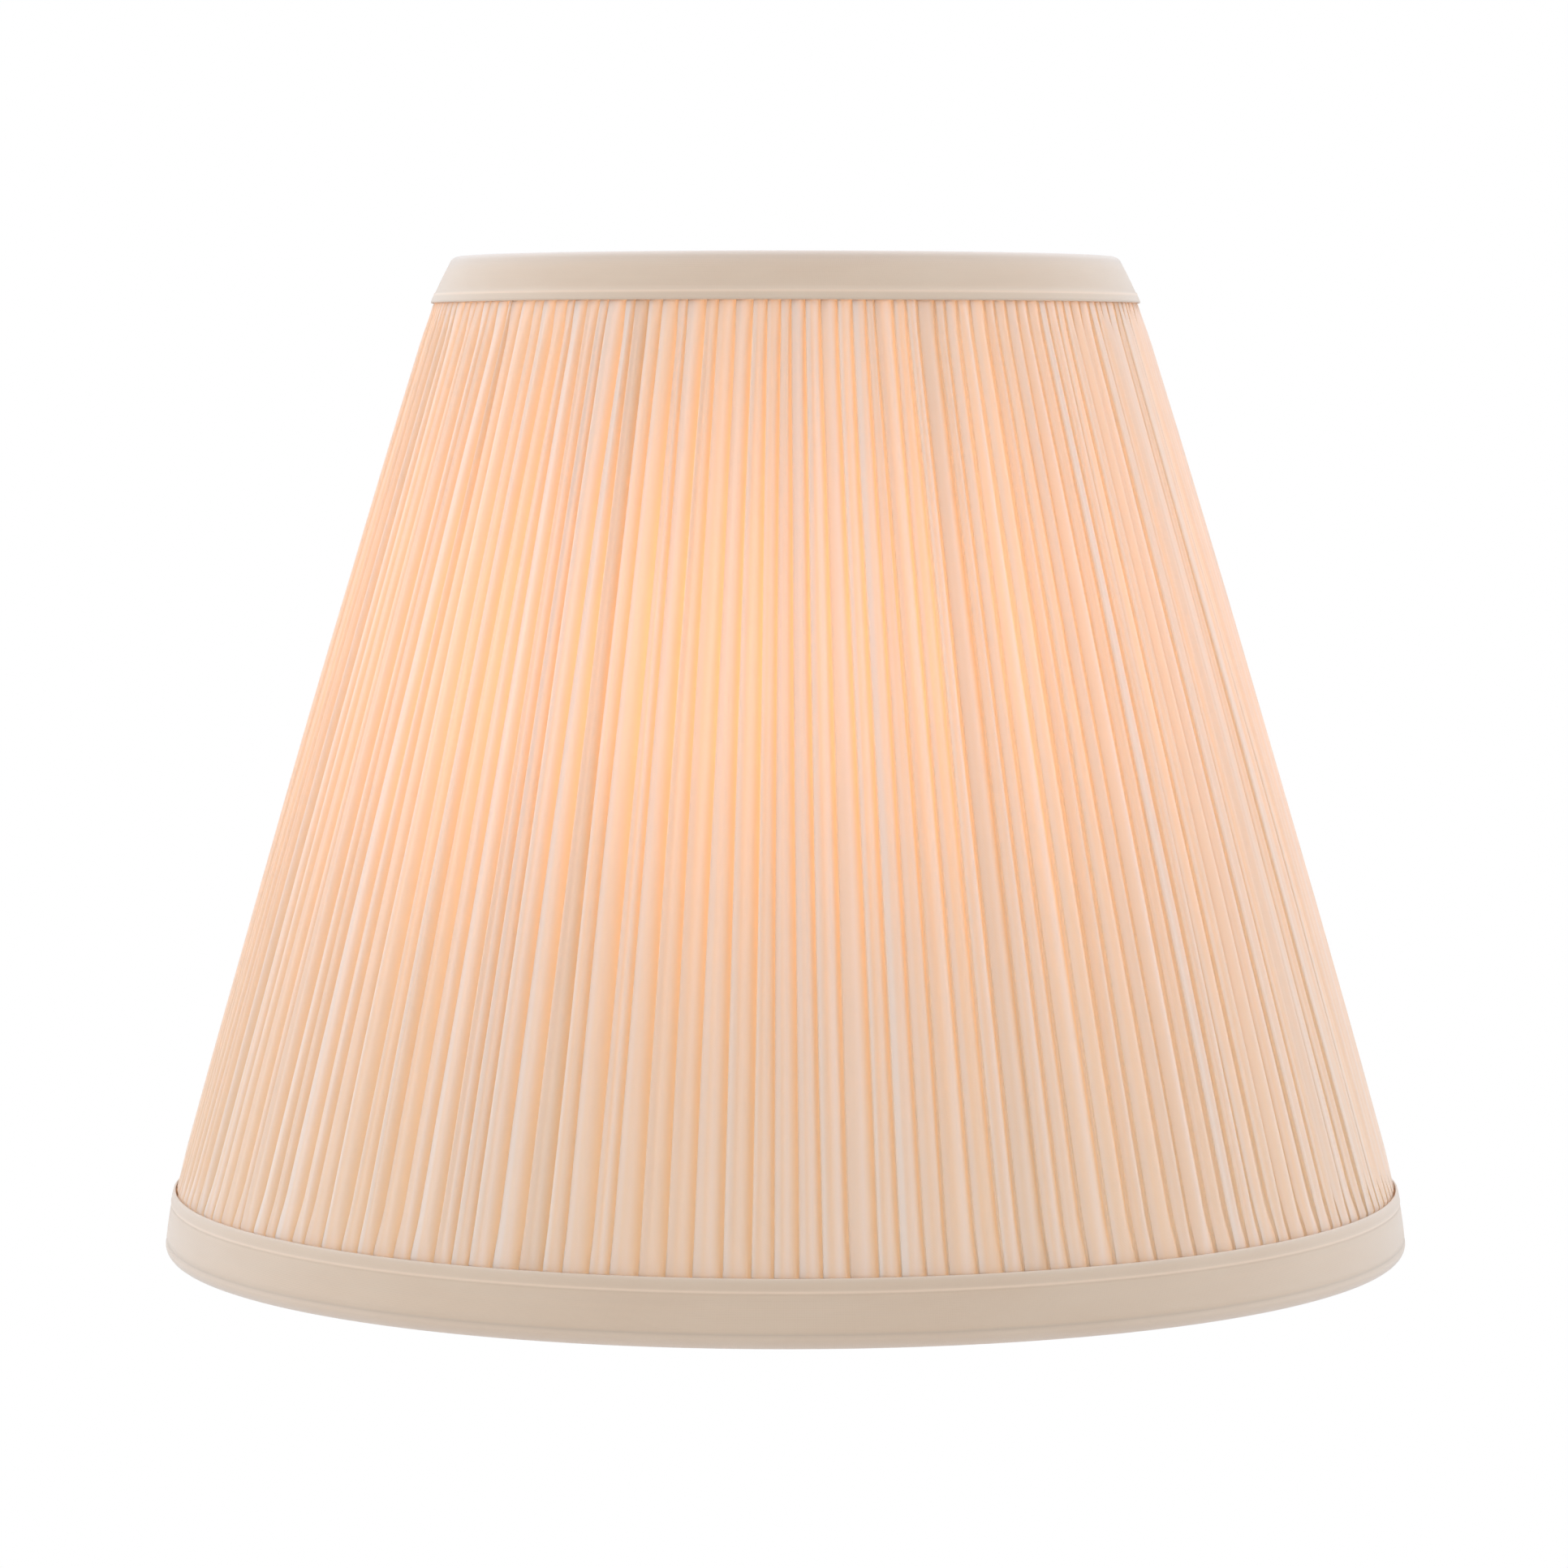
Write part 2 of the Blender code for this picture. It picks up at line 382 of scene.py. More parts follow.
def cover_material():
    """Fine cream crepe, paler where it lies in three layers, with painted light: a paler painted highlight
    along each crest and a painted orange glow and shade in the hollows.
    """
    n = Nodes("cover_crepe")
    cloth = n.attribute("cloth").outputs["Vector"]
    split = n.add("ShaderNodeSeparateXYZ")
    n.link(n.attribute("fold").outputs["Vector"], split.inputs[0])
    ridge_highlight, overlap, hollow_glow = split.outputs
    streaks = n.noise(n.scaled(cloth, (1.0, 0.05, 1.0)), 900.0)
    slubs = n.noise(n.scaled(cloth, (1.0, 0.25, 1.0)), 160.0)
    height = n.math("ADD", n.math("MULTIPLY", weave(n, cloth, 0.0007), 0.35), streaks)
    normal = n.bump(height, 0.14, 0.00015)
    # painted highlight: the crests are tinted paler and pinker, where the front light falls on them
    face = n.mix(ridge_highlight, colour(0.89, 0.74, 0.61), colour(0.92, 0.83, 0.78))
    face = n.mix(n.math("MULTIPLY", n.ramp(slubs, 0.35, 0.70), 0.12), face, colour(0.93, 0.84, 0.74))
    # painted glow and shade: the hollows are tinted more orange
    face = n.mix(n.math("MULTIPLY", hollow_glow, 0.5), face, colour(0.95, 0.73, 0.53))
    base = n.mix(overlap, face, colour(0.91, 0.87, 0.84))
    # painted light in the light passed through: paler on the crests, more orange in the hollows
    through = n.mix(ridge_highlight, colour(0.97, 0.84, 0.68), colour(0.96, 0.86, 0.76))
    through = n.mix(n.math("MULTIPLY", hollow_glow, 0.6), through, colour(1.00, 0.83, 0.60))
    # painted glow: the hollows pass more light and the crests less
    share = n.blend(n.blend(n.blend(0.61, ridge_highlight, -0.17), overlap, -0.36), hollow_glow, 0.14)
    return n.output(cloth_shader(n, base, through, normal, 0.72, 0.9, share))


def lining_material():
    """Plain ivory lining cloth."""
    n = Nodes("lining_cloth")
    cloth = n.attribute("cloth").outputs["Vector"]
    patches = n.noise(cloth, 60.0)
    height = n.math("ADD", weave(n, cloth, 0.0006), n.math("MULTIPLY", n.noise(cloth, 1500.0), 0.5))
    normal = n.bump(height, 0.30, 0.00015)
    base = n.mix(n.ramp(patches, 0.3, 0.7), colour(0.90, 0.86, 0.78), colour(0.93, 0.89, 0.82))
    return n.output(cloth_shader(n, base, base, normal, 0.80, 0.15, 0.50))


def trim_material():
    """Bias-cut tape: the weave runs at 45 degrees to the edge, with a faint satin sheen, a painted highlight
    along the fold line, and painted shade over the rolled edge and in the crease.
    """
    n = Nodes("bias_tape")
    cloth = n.attribute("cloth").outputs["Vector"]
    split = n.add("ShaderNodeSeparateXYZ")
    n.link(n.attribute("fold").outputs["Vector"], split.inputs[0])
    # painted light marks: highlight along the fold line, shade over the roll, shade in the crease
    line, roll, crease = split.outputs
    bias = n.turned(cloth, math.radians(45.0))
    lines = n.noise(n.scaled(cloth, (0.012, 1.0, 1.0)), 420.0)
    patches = n.noise(n.scaled(cloth, (0.3, 1.0, 1.0)), 90.0)
    height = n.math("ADD", weave(n, bias, 0.0005), n.math("MULTIPLY", lines, 2.0))
    normal = n.bump(height, 0.12, 0.00015)
    base = n.mix(n.ramp(patches, 0.3, 0.7), colour(0.76, 0.60, 0.46), colour(0.79, 0.64, 0.50))
    base = n.mix(n.math("MULTIPLY", n.ramp(lines, 0.45, 0.75), 0.5), base, colour(0.80, 0.63, 0.48))
    # painted shade: greyer over the rolled end of the tape and faintly along the lip's free edge
    base = n.mix(n.math("MULTIPLY", roll, 0.55), base, colour(0.78, 0.69, 0.63))
    # painted highlight: a bright warm line where the turned-in fold catches the light
    base = n.mix(n.math("MULTIPLY", line, 0.9), base, colour(0.97, 0.78, 0.62))
    # painted shade: darker along the crease
    base = n.mix(n.math("MULTIPLY", crease, 0.6), base, colour(0.66, 0.55, 0.45))
    return n.output(cloth_shader(n, base, base, normal, 0.62, 0.55, 0.12))


def wire_material():
    """White powder coat with a fine orange-peel surface."""
    n = Nodes("powder_coat")
    place = n.add("ShaderNodeTexCoord").outputs["Object"]
    peel = n.noise(place, 900.0, 2.0)
    dust = n.noise(place, 70.0, 4.0)
    base = n.mix(n.ramp(dust, 0.40, 0.75), colour(0.86, 0.85, 0.82), colour(0.80, 0.78, 0.73))
    shader = n.add("ShaderNodeBsdfPrincipled")
    n.set(shader, Base_Color=base, Roughness=n.ramp(dust, -0.6, 1.7), Normal=n.bump(peel, 0.25, 0.0001))
    return n.output(shader.outputs[0])


def washer_material():
    """Zinc-plated pressed steel with fine turned scratches."""
    n = Nodes("zinc_plate")
    place = n.add("ShaderNodeTexCoord").outputs["Object"]
    split = n.add("ShaderNodeSeparateXYZ")
    n.link(place, split.inputs[0])
    square = n.math("ADD", n.math("POWER", split.outputs[0], 2.0), n.math("POWER", split.outputs[1], 2.0))
    radius = n.math("SQRT", square)
    scratch = n.add("ShaderNodeTexNoise", noise_dimensions="1D")
    n.link(n.math("MULTIPLY", radius, 9000.0), scratch.inputs["W"])
    spangle = n.noise(place, 260.0, 2.0)
    base = n.mix(n.ramp(spangle, 0.35, 0.65), colour(0.56, 0.56, 0.55), colour(0.68, 0.67, 0.64))
    shader = n.add("ShaderNodeBsdfPrincipled")
    rough = n.ramp(scratch.outputs["Fac"], -0.8, 2.2)
    n.set(shader, Base_Color=base, Roughness=rough, Normal=n.bump(scratch.outputs["Fac"], 0.15, 0.00005))
    shader.inputs["Metallic"].default_value = 1.0
    return n.output(shader.outputs[0])


# ---------------------------------------------------------------- pleated cover


def pleat_knots(pleats):
    """Knots of every pleat's section at every row, hidden fold to hidden fold: (pleats, rows, knots, 2).

    The first number is a share of the pleat's pitch and the second a share of the cover's depth.
    """
    lap, crest, shoulder, rim, lean = pleats
    before = np.roll(lap, 1, axis=0)
    one = np.ones_like(lap)
    knots = [
        (-before + 0.10, 0.42 * one),
        (-before - 0.015, 0.31 * one),
        (-before + 0.06, 0.20 * one),
        (-0.03 * one, 0.22 * one),
        (0.10 * one, 0.36 * one),
        (0.25 + 0.6 * lean, 0.80 * crest),
        (0.43 + lean, crest),
        (0.66 + 0.6 * lean, shoulder),
        (0.87 * one, rim),
        (1.0 * one, rim - 0.10),
        (0.92 * one, rim - 0.20),
        (1.0 - lap + 0.10, 0.42 * one),
        (1.0 - lap - 0.015, 0.31 * one),
        (1.0 - lap + 0.06, 0.20 * one),
    ]
    return np.stack([np.stack(k, axis=-1) for k in knots], axis=2)


def pleat_sections(rng, along):
    """Every pleat's section at every row, as shares of pitch and depth, with marks.

    The marks say how far each point is up a crest, which gets a painted highlight, in the overlap, and down
    in a valley, which gets a painted glow and shade.
    """

    def varied(middle, spread, drift, waves):
        own = middle + rng.uniform(-spread, spread, (PLEATS, 1))
        return own + drift * slow_noise(rng, PLEATS, along, waves)

    lap = varied(UNDERLAP, 0.10, 0.04, (0.5, 1.2)) * (0.85 + 0.40 * along[None, :])
    lap = np.clip(lap, 0.14, 0.44)
    crest = np.clip(varied(0.90, 0.09, 0.06, (0.5, 1.3, 2.4)), 0.72, 1.0)
    shoulder = crest * np.clip(varied(0.86, 0.09, 0.06, (0.6, 1.4, 2.2)), 0.70, 0.98)
    rim = np.clip(shoulder + varied(0.0, 0.10, 0.05, (0.5, 1.5)), 0.62, 0.96)
    lean = varied(0.0, 0.05, 0.03, (0.4, 1.1))
    path = catmull_rom(pleat_knots((lap, crest, shoulder, rim, lean)), PLEAT_STEPS)
    s, d = path[..., 0], path[..., 1]
    strength = np.clip(varied(0.65, 0.35, 0.12, (0.6, 1.7)), 0.2, 1.0)
    # crest mark: where each pleat gets its painted highlight
    ridge_highlight = strength[..., None] * np.exp(-(((s - 0.45 - lean[..., None]) / 0.17) ** 2))
    weight = 0.30 + 0.52 * rng.uniform(0.0, 1.0, (PLEATS, 1, 1))
    overlap = weight * smoothstep(-0.14, 0.05, s - 1.0 + lap[..., None]) + (s < 0.0)
    # valley mark: where the painted glow and shade go
    hollow_glow = 1.0 - smoothstep(0.30, 0.85, d)
    return s, d, np.stack([ridge_highlight, np.clip(overlap, 0.0, 1.0), hollow_glow], axis=-1)


def cover_surface():
    """Inner and outer radius of the cover as functions of height, and the heights of the trims' edges."""
    levels = node_levels("pleated_cover")
    ends = (levels[0], levels[-1])
    low_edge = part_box("bottom_trim")[1][2]
    high_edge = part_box("top_trim")[0][2]
    full = [(z, outer) for z, _, outer in levels if low_edge < z < high_edge]
    covered = [(z, least) for z, least, _ in levels]

    def inner(z):
        return np.interp(z, [e[0] for e in ends], [e[1] for e in ends])

    def outer(z):
        shown = np.interp(z, [p[0] for p in full], [p[1] for p in full])
        tucked = np.interp(z, [p[0] for p in covered], [p[1] for p in covered])
        return np.where((z < low_edge) | (z > high_edge), tucked, shown)

    return inner, outer, low_edge, high_edge


def make_cover():
    """The pleated cover: one continuous sheet in knife pleats, three layers thick where they overlap."""
    rng = np.random.default_rng(SEED)
    inner, outer, low_edge, high_edge = cover_surface()
    close = np.array([-TUCK, -0.0012, 0.0004, 0.0022, 0.0045, 0.0075, 0.011])
    between = np.linspace(low_edge, high_edge, PLEAT_ROWS)[2:-2]
    z = np.concatenate([low_edge + close, between, high_edge - close[::-1]])
    along = (z - z[0]) / (z[-1] - z[0])
    widths = rng.uniform(0.80, 1.24, PLEATS)
    s, d, fold = pleat_sections(rng, along)
    edges = np.concatenate([[0.0], np.cumsum(widths)]) / widths.sum() * math.tau
    pitch = math.tau / PLEATS
    wander = slow_noise(rng, PLEATS, along, (0.4, 0.9)) * 0.12 * pitch
    wander *= 0.7 + 1.2 * smoothstep(0.75, 1.0, along)
    start = edges[:-1, None] + wander
    following = np.roll(start, -1, axis=0)
    following[-1] += math.tau
    span = following - start
    span_before = np.roll(span, 1, axis=0)
    angle = start[..., None] + np.where(s < 0.0, span_before[..., None], span[..., None]) * s
    near = np.minimum(z - low_edge, high_edge - z)
    press = PINCH_MOST * (1.0 - smoothstep(0.0, PINCH_REACH, near))[None, :, None]
    d = d + press * (PINCH_LEVEL - d) * smoothstep(*PINCH_SHARES, d)
    radius = inner(z)[None, :, None] + d * (outer(z) - inner(z))[None, :, None]
    pleats, rows, count = s.shape
    angle = -angle.transpose(1, 0, 2).reshape(rows, pleats * count)[:, ::-1]
    radius = radius.transpose(1, 0, 2).reshape(rows, pleats * count)[:, ::-1]
    fold = fold.transpose(1, 0, 2, 3).reshape(rows, pleats * count, 3)[:, ::-1]
    points = turned(radius, angle, z[:, None])
    developed = np.linalg.norm(np.roll(points, -1, axis=1) - points, axis=2)
    run = np.concatenate([[0.0], np.cumsum(developed[rows // 2])[:-1]])
    cloth = flat_places(run, z)
    mesh = grid_mesh("pleated_cloth", points, True, cloth=cloth, fold=fold)
    piece = add_piece("pleated_cloth", mesh, cover_material(), ["pleated_cover"])
    slant = math.hypot(z[-1] - z[0], inner(z[0]) - inner(z[-1]))
    return piece


# ---------------------------------------------------------------- lining


def make_lining():
    """The plain inner shade, lapped and seamed up the back."""
    rng = np.random.default_rng(SEED + 1)
    levels = node_levels("lining")
    low, high = levels[0], levels[-1]
    low_r, high_r = 0.5 * (low[1] + low[2]), 0.5 * (high[1] + high[2])
    along = np.linspace(0.0, 1.0, LINING_ROWS)
    z = low[0] + (high[0] - low[0]) * along
    radius = low_r + (high_r - low_r) * along
    angle = np.linspace(0.0, math.tau, LINING_COLUMNS, endpoint=False)
    ripple = np.zeros((LINING_ROWS, LINING_COLUMNS))
    for wave in RIPPLE_WAVES:
        phase = rng.uniform(0.0, math.tau)
        ripple += np.cos(wave * angle[None, :] + phase)
    ends = np.exp(-np.minimum(along, 1.0 - along) / 0.07)
    seam = np.exp(-(((angle - math.pi / 2.0) * radius.mean()) ** 2) / SEAM_WIDTH**2)
    shape = radius[:, None] + LINING_RIPPLE * ripple * ends[:, None] - SEAM_DEPTH * seam[None, :]
    points = turned(shape, np.tile(angle, (LINING_ROWS, 1)), z[:, None])
    cloth = flat_places(angle * radius.mean(), z)
    mesh = grid_mesh("inner_lining", points, True, cloth=cloth)
    piece = add_piece("inner_lining", mesh, lining_material(), ["lining"])
    return piece


# ---------------------------------------------------------------- trims


def section_arc(centre, radius, start, end, count):
    """Points on an arc of a trim's section, as (radius, height)."""
    angles = np.linspace(start, end, count)
    return [(centre[0] + radius * math.cos(a), centre[1] + radius * math.sin(a)) for a in angles]


def tape_section(node, ring, bottom):
    """Outer line of a tape's section, free edge to inner end, with marks for a painted highlight along the
    fold, painted shade over the roll and painted shade in the crease.
    """
    levels = node_levels(node)
    ring_r, ring_z, wire = ring_line(ring)
    order = levels if bottom else levels[::-1]
    edge, fold, end_z = order[-1], order[-2], order[0][0]
    sign = 1.0 if bottom else -1.0
    rim = max(level[2] for level in levels if abs(level[0] - ring_z) < wire * 0.5)
    reach = abs(ring_z - end_z)
    dent = CREASE_DEPTH if bottom else 0.0
    heel, toe = (rim - reach, ring_z), (ring_r, ring_z)
    meet = math.radians(8.0 if bottom else 17.0)
    crease_z = ring_z + 0.0011 if bottom else ring_z + reach * math.sin(meet)
    lean_r, lean_z = fold[2] - edge[2], fold[0] - edge[0]
    path = [(edge[2] - EDGE_CURL[0], edge[0] + sign * 0.00004), (edge[2] - EDGE_CURL[1], edge[0])]
    for t in (0.10, 0.3, 0.5, 0.7, 0.88):
        path.append((edge[2] + lean_r * t + 0.00008 * math.sin(math.pi * t), edge[0] + lean_z * t))
    path += [(fold[2] + LIP_STEP * 0.3, fold[0]), (fold[2] + LIP_STEP * 0.1, fold[0] - sign * 0.00025)]
    path.append((fold[2] - LIP_STEP * 0.7, fold[0] - sign * 0.00055))
    low_r = rim - 0.5 * dent if bottom else heel[0] + reach * math.cos(meet)
    for t in np.linspace(0.10, 0.93, 9):
        swell = 0.00012 * math.sin(math.pi * t) - LIP_STEP * 0.7 * (1.0 - t)
        path.append((fold[2] + (low_r - fold[2]) * t + swell, fold[0] + (crease_z - fold[0]) * t))
    if bottom:
        path += [(low_r - dent, crease_z), (low_r - dent * 0.6, crease_z - 0.0003)]
    path += section_arc(heel, reach, meet, -sign * math.radians(90.0), 8)
    path += section_arc(toe, reach, -sign * math.radians(90.0), -sign * math.radians(180.0), 6)
    if bottom:
        top = [level for level in levels if level[1] < ring_r - reach * 0.9 and level[0] > ring_z][-1]
        inner = ring_r - reach
        for t in (0.25, 0.5, 0.75, 1.0):
            path.append((inner + (top[1] - inner) * t, ring_z + (top[0] - ring_z) * t))
    else:
        path += [(ring_r - reach, ring_z - wire * t) for t in (0.4, 0.8)]
    path = np.array(path)
    rise = sign * (path[:, 1] - end_z)
    outside = path[:, 0] > ring_r
    # where the painted highlight along the fold goes
    fold_highlight_mark = np.exp(-(((path[:, 1] - fold[0] + sign * 0.0001) / 0.0003) ** 2)) * outside
    # where the painted shade over the rolled end and the free edge goes
    roll_shade_mark = np.exp(-((rise / 0.0022) ** 2))
    roll_shade_mark = roll_shade_mark + 0.3 * np.exp(-(((path[:, 1] - edge[0]) / 0.0008) ** 2))
    # where the painted shade in the crease goes
    crease_shade_mark = np.exp(-(((path[:, 1] - crease_z) / 0.0004) ** 2)) * outside * float(bottom)
    return path, np.stack([fold_highlight_mark, np.clip(roll_shade_mark, 0.0, 1.0), crease_shade_mark], axis=-1)


def line_sides(path):
    """Unit vectors square to a section's line, at each of its points."""
    step = np.gradient(path, axis=0)
    step /= np.linalg.norm(step, axis=1)[:, None]
    return np.stack([step[:, 1], -step[:, 0]], axis=-1)


def make_trim(name, node, ring, bottom, material):
    """One bias tape, folded over its ring, with its turned-in edge, crease and rolled bead."""
    rng = np.random.default_rng(SEED + (2 if bottom else 3))
    path, marks = tape_section(node, ring, bottom)
    inward = 1.0 if bottom else -1.0
    under = path + inward * line_sides(path) * TAPE
    section = np.concatenate([path, under[::-1]])
    angle = np.linspace(0.0, math.tau, TRIM_SEGMENTS, endpoint=False)
    waver = slow_noise(rng, 3, angle / math.tau, (2, 3, 5, 9))
    pucker = slow_noise(rng, 1, angle / math.tau, (31, 57, 83, 120))[0]
    reach = np.abs(path[:, 1] - path[0, 1])
    free = np.exp(-reach / 0.006)
    free = np.concatenate([free, free[::-1]])
    band = np.concatenate([np.exp(-(((reach - 0.007) / 0.004) ** 2))] * 2)
    z = section[:, 1][:, None] + EDGE_WAVER * waver[0][None, :] * free[:, None]
    r = section[:, 0][:, None] + EDGE_PUCKER * pucker[None, :] * band[:, None]
    r = r + EDGE_SWAY * waver[1][None, :] * free[:, None]
    points = turned(r, np.tile(angle, (len(section), 1)), z)
    run = np.concatenate([[0.0], np.cumsum(np.linalg.norm(np.diff(path, axis=0), axis=1))])
    both = np.concatenate([run, run[::-1]])
    mean = path[:, 0].mean()
    cloth = flat_places(angle * mean, both)
    if bottom:
        points, cloth = points[::-1], cloth[::-1]
    marks = np.concatenate([marks, marks[::-1]])
    fold = np.repeat((marks[::-1] if bottom else marks)[:, None, :], TRIM_SEGMENTS, axis=1)
    mesh = grid_mesh(name, points, True, wrap_rows=True, cloth=cloth, fold=fold)
    piece = add_piece(name, mesh, material, [node])
    return piece


# ---------------------------------------------------------------- wire frame


def tube(name, centre, radii, sides):
    """A closed tube along centre points with a radius at each, and rounded-off ends."""
    centre = np.array(centre)
    tangent = np.gradient(centre, axis=0)
    tangent /= np.linalg.norm(tangent, axis=1)[:, None]
    hint = np.array((0.0, 0.0, 1.0)) if abs(tangent[0][2]) < 0.9 else np.array((1.0, 0.0, 0.0))
    around = np.linspace(0.0, math.tau, sides, endpoint=False)
    rings = []
    for point, direction, radius in zip(centre, tangent, radii):
        across = np.cross(hint, direction)
        across /= np.linalg.norm(across)
        upward = np.cross(direction, across)
        rings.append(point + radius * (np.cos(around)[:, None] * across + np.sin(around)[:, None] * upward))
        hint = upward
    mesh = grid_mesh(name, np.array(rings), True)
    bm = bmesh.new()
    bm.from_mesh(mesh)
    bmesh.ops.holes_fill(bm, edges=[e for e in bm.edges if e.is_boundary])
    bmesh.ops.recalc_face_normals(bm, faces=bm.faces)
    bm.to_mesh(mesh)
    bm.free()
    mesh.shade_smooth()
    mesh.set_sharp_from_angle(angle=math.radians(50.0))
    return mesh


def hoop(name, node, material):
    """A welded hoop of round wire."""
    radius, height, wire = ring_line(node)
    around = np.linspace(0.0, math.tau, 18, endpoint=False)
    angle = np.linspace(0.0, math.tau, 240, endpoint=False)
    r = radius + wire * np.cos(around)[:, None] + 0.0 * angle
    z = height + wire * np.sin(around)[:, None] + 0.0 * angle
    mesh = grid_mesh(name, turned(r, np.tile(angle, (18, 1)), z), True, wrap_rows=True)
    return add_piece(name, mesh, material, [node])


def weld_swell(distance, wire):
    """Wire radius at a distance from a weld, where the bead swells it."""
    return wire * (1.0 + WELD_BEAD * np.exp(-((distance / (WELD_SPREAD * wire)) ** 2)))


def make_ribs(material):
    """Straight ribs with a weld bead at each end."""
    low_r, low_z, low_wire = ring_line("bottom_ring")
    high_r, high_z, _ = ring_line("top_ring")
    for name in sorted(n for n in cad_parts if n.startswith("rib_")):
        low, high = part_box(name)
        middle = math.atan2((low[1] + high[1]) / 2.0, (low[0] + high[0]) / 2.0)
        a = np.array((low_r * math.cos(middle), low_r * math.sin(middle), low_z))
        b = np.array((high_r * math.cos(middle), high_r * math.sin(middle), high_z))
        unit = (b - a) / np.linalg.norm(b - a)
        a, b = a + unit * low_wire * WELD_SINK, b - unit * low_wire * WELD_SINK
        length = np.linalg.norm(b - a)
        middle_runs = np.linspace(0.03, length - 0.03, 5)
        runs = np.concatenate([WELD_RUNS, middle_runs, length - WELD_RUNS[::-1]])
        radii = weld_swell(np.minimum(runs, length - runs), WIRE)
        mesh = tube(name + "_wire", a + unit * runs[:, None], radii, 16)
        add_piece(name + "_wire", mesh, material, [name])


def make_arms(material):
    """Spider arms: down from the top ring, round a bend, and in to the washer."""
    ring_r, ring_z, ring_wire = ring_line("top_ring")
    washer_low, washer_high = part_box("spider_washer")
    washer_z = (washer_low[2] + washer_high[2]) / 2.0
    rim = washer_high[0]
    bend_r = ring_r - ARM_BEND
    for name in sorted(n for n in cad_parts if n.startswith("spider_arm")):
        low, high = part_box(name)
        centre = ((low[0] + high[0]) / 2.0, (low[1] + high[1]) / 2.0)
        middle = math.atan2(centre[1], centre[0])
        start_z = ring_z - ring_wire * WELD_SINK
        route = [(ring_r, start_z - t) for t in (0.0, 0.0005, 0.001, 0.0015, 0.0022, 0.0032)]
        route += section_arc((bend_r, washer_z + ARM_BEND), ARM_BEND, 0.0, -math.pi / 2.0, 9)
        route += [(bend_r - (bend_r - rim) * t, washer_z) for t in (0.3, 0.6)]
        route += [(rim + t, washer_z) for t in (0.012, 0.004, 0.0025, 0.0016, 0.001, 0.0005, 0.0)]
        route = np.array(route)
        runs = np.concatenate([[0.0], np.cumsum(np.linalg.norm(np.diff(route, axis=0), axis=1))])
        radii = weld_swell(np.minimum(runs, runs[-1] - runs), WIRE)
        points = turned(route[:, 0], np.full(len(route), middle), route[:, 1])
        mesh = tube(name + "_wire", points, radii, 16)
        add_piece(name + "_wire", mesh, material, [name])


def make_washer():
    """The pressed washer, with rolled edges and a shallow coined ring round the hole."""
    low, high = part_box("spider_washer")
    levels = node_levels("spider_washer")
    hole, rim = levels[0][1], high[0]
    under, top = low[2], high[2]
    ease = 0.00035
    coin = 0.00015
    section = [
        (hole, under + ease), (hole + ease * 0.3, under + ease * 0.3), (hole + ease, under),
        (rim - ease, under), (rim - ease * 0.3, under + ease * 0.3), (rim, under + ease),
        (rim, top - ease), (rim - ease * 0.3, top - ease * 0.3), (rim - ease, top),
        (hole + 0.0042, top), (hole + 0.0039, top - coin),
        (hole + 0.0033, top - coin), (hole + 0.0030, top),
        (hole + ease, top), (hole + ease * 0.3, top - ease * 0.3), (hole, top - ease),
    ]
    section = np.array(section)
    angle = np.linspace(0.0, math.tau, 96, endpoint=False)
    r = section[:, 0][:, None] + 0.0 * angle
    z = section[:, 1][:, None] + 0.0 * angle
    mesh = grid_mesh("spider_disc", turned(r, np.tile(angle, (len(section), 1)), z), True, wrap_rows=True)
    mesh.set_sharp_from_angle(angle=math.radians(40.0))
    add_piece("spider_disc", mesh, washer_material(), ["spider_washer"])


# ---------------------------------------------------------------- stage


def make_floor():
    """A plain white floor, seen only from above."""
    n = Nodes("floor_white")
    light = n.add("ShaderNodeEmission")
    n.set(light, Color=colour(1.0, 1.0, 1.0), Strength=1.0)
    paper = n.add("ShaderNodeBsdfDiffuse")
    n.set(paper, Color=colour(*FLOOR_TINT))
    lit = n.add("ShaderNodeMixShader")
    n.link(n.add("ShaderNodeLightPath").outputs["Is Camera Ray"], lit.inputs[0])
    n.link(paper.outputs[0], lit.inputs[1])
    n.link(light.outputs[0], lit.inputs[2])
    clear = n.add("ShaderNodeBsdfTransparent")
    side = n.add("ShaderNodeMixShader")
    n.link(n.add("ShaderNodeNewGeometry").outputs["Backfacing"], side.inputs[0])
    n.link(lit.outputs[0], side.inputs[1])
    n.link(clear.outputs[0], side.inputs[2])
    material = n.output(side.outputs[0])
    bpy.ops.mesh.primitive_plane_add(size=60.0, location=(0.0, 0.0, CAD_LOW.z - FLOOR_DROP))
    floor = bpy.context.object
    floor.name = "studio_floor"
    floor.data.materials.append(material)


